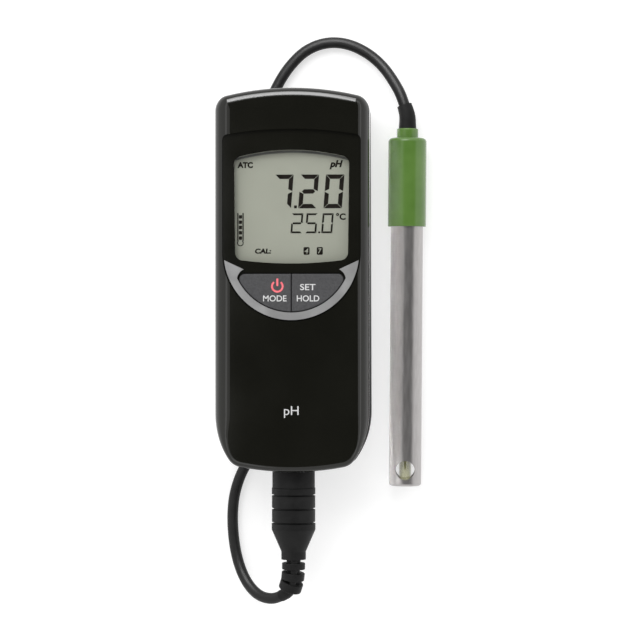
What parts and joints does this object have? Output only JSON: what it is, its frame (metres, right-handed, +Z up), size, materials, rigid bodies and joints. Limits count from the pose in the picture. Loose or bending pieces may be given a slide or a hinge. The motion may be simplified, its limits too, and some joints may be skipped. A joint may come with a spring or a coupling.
{
  "type": "ph meter",
  "caption": "Hand-held pH meter with a wide display and soft keys, joined by a flexible lead and round plug to a tubular metal electrode.",
  "frame": {"origin": "on the table under the middle of the case and electrode, which lie side by side", "axes": "+Z up out of the display, +Y along the case towards the display end, +X across towards the electrode"},
  "size_m": [0.0855, 0.2333, 0.0352],
  "materials": {
    "front_shell": "glossy black plastic",
    "rear_shell": "fine matt black plastic",
    "seal_rubber": "soft silicone",
    "screw_steel": "plain steel",
    "window_pane": "clear",
    "display_glass": "greenish grey liquid crystal cell",
    "holder_plastic": "matt",
    "board_laminate": "green solder resist",
    "board_part_plastic": "black mouldings",
    "contact_metal": "plated spring metal",
    "trim_silver": "satin silver",
    "key_rubber": "matt silicone rubber",
    "cell_metal": "printed sleeve",
    "socket_metal": "nickel plate",
    "lead_rubber": "soft grey-black jacket",
    "strap_plastic": "matt",
    "boot_rubber": "matt black rubber",
    "cap_green": "glossy green plastic",
    "tube_titanium": "satin titanium",
    "electrode_glass": "clear",
    "wire_metal": "dark silver",
    "junction_ceramic": "porous white"
  },
  "bodies": {
    "meter": {"front_case": "front_shell", "rear_case": "rear_shell", "case_gasket": "seal_rubber", "case_screws": "screw_steel", "board_screws": "screw_steel", "display_window": "window_pane", "display_cell": "display_glass", "display_holder": "holder_plastic", "display_connectors": "holder_plastic", "circuit_board": "board_laminate", "board_parts": "board_part_plastic", "key_domes": "contact_metal", "key_trim": "trim_silver", "battery_tray": "holder_plastic", "battery_1": "cell_metal", "battery_2": "cell_metal", "battery_3": "cell_metal", "battery_contacts": "contact_metal", "socket_shell": "socket_metal", "socket_insulator": "holder_plastic", "socket_contacts": "contact_metal", "socket_nut": "screw_steel", "socket_seal": "seal_rubber", "cable_loop": "lead_rubber", "cable_fold": "lead_rubber", "cable_straps": "strap_plastic", "cable_top": "lead_rubber", "cable_boot": "boot_rubber", "probe_cap": "cap_green", "cap_seal": "seal_rubber", "probe_tube": "tube_titanium", "probe_core": "holder_plastic", "glass_stem": "electrode_glass", "reference_wire": "wire_metal", "temperature_sensor": "wire_metal", "reference_junction": "junction_ceramic", "probe_board": "board_laminate"},
    "plug": {"plug_grip": "boot_rubber", "plug_shell": "socket_metal", "plug_insulator": "holder_plastic", "plug_pins": "contact_metal", "strain_relief": "boot_rubber"},
    "mode_key": {"mode_key": "key_rubber"},
    "set_hold_key": {"set_hold_key": "key_rubber"}
  },
  "joints": [
    {"name": "mode_key_press", "type": "slide", "parent": "meter", "child": "mode_key", "axis": [0, 0, -1], "range_m": [0, 0.0008], "stiffness_N_per_m": 1500},
    {"name": "set_hold_key_press", "type": "slide", "parent": "meter", "child": "set_hold_key", "axis": [0, 0, -1], "range_m": [0, 0.0008], "stiffness_N_per_m": 1500},
    {"name": "plug_pull", "type": "slide", "parent": "meter", "child": "plug", "axis": [0, -1, 0], "range_m": [0, 0.012], "deforming": ["cable_loop"]}
  ]
}
